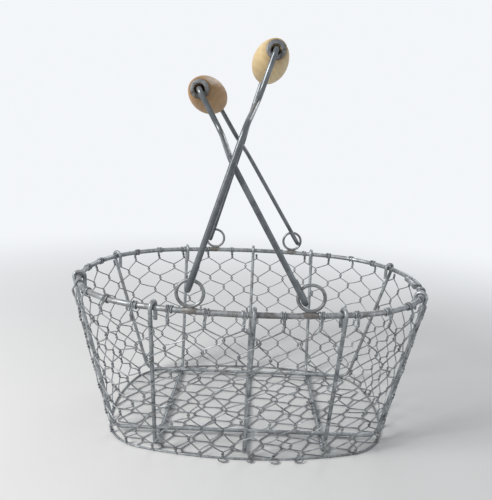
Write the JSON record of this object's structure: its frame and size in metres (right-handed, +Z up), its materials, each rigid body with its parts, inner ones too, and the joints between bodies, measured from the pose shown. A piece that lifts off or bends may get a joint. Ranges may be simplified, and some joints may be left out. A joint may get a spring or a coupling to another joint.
{
  "type": "wire egg basket",
  "caption": "Oval gathering basket: a wire frame covered with hexagonal wire netting, with two swinging bails that cross and carry turned wooden grips.",
  "frame": {"origin": "middle of the base, on the ground", "axes": "+X along the basket to the right, +Y across it to the back, +Z up"},
  "size_m": [0.2962, 0.2252, 0.3132],
  "materials": {
    "heavy_wire": "galvanised, dull",
    "rib_wire": "galvanised, weathered",
    "netting_wire": "galvanised, dull",
    "grip_wood": "turned beech, waxed",
    "grip_caps": "galvanised, dull"
  },
  "bodies": {
    "basket": {"rim_hoop": "heavy_wire", "cross_rib_left": "rib_wire", "cross_rib_centre": "rib_wire", "cross_rib_right": "rib_wire", "long_rib_front": "rib_wire", "long_rib_back": "rib_wire", "ring_front_left": "heavy_wire", "ring_front_right": "heavy_wire", "ring_back_left": "heavy_wire", "ring_back_right": "heavy_wire", "netting_front": "netting_wire", "netting_back": "netting_wire", "netting_left_end": "netting_wire", "netting_right_end": "netting_wire", "netting_base": "netting_wire", "rim_ties": "netting_wire", "base_lacing_left": "netting_wire", "base_lacing_right": "netting_wire", "base_edge_wire": "heavy_wire"},
    "left_handle": {"bail_left": "heavy_wire"},
    "left_grip": {"grip_left": "grip_wood", "caps_left": "grip_caps"},
    "right_handle": {"bail_right": "heavy_wire"},
    "right_grip": {"grip_right": "grip_wood", "caps_right": "grip_caps"}
  },
  "joints": [
    {"name": "left_bail_swing", "type": "hinge", "parent": "basket", "child": "left_handle", "pos_m": [-0.0405, 0, 0.13575], "axis": [0, 1, 0], "range_deg": [0, 70]},
    {"name": "left_grip_spin", "type": "hinge", "parent": "left_handle", "child": "left_grip", "pos_m": [0.00679, 0, 0.29807], "axis": [-0.0712, 0.9966, -0.042], "continuous": true},
    {"name": "right_bail_swing", "type": "hinge", "parent": "basket", "child": "right_handle", "pos_m": [0.0405, 0, 0.13575], "axis": [0, -1, 0], "range_deg": [0, 45]},
    {"name": "right_grip_spin", "type": "hinge", "parent": "right_handle", "child": "right_grip", "pos_m": [-0.04099, 0, 0.27093], "axis": [0.0396, 0.9992, -0.0031], "continuous": true}
  ]
}
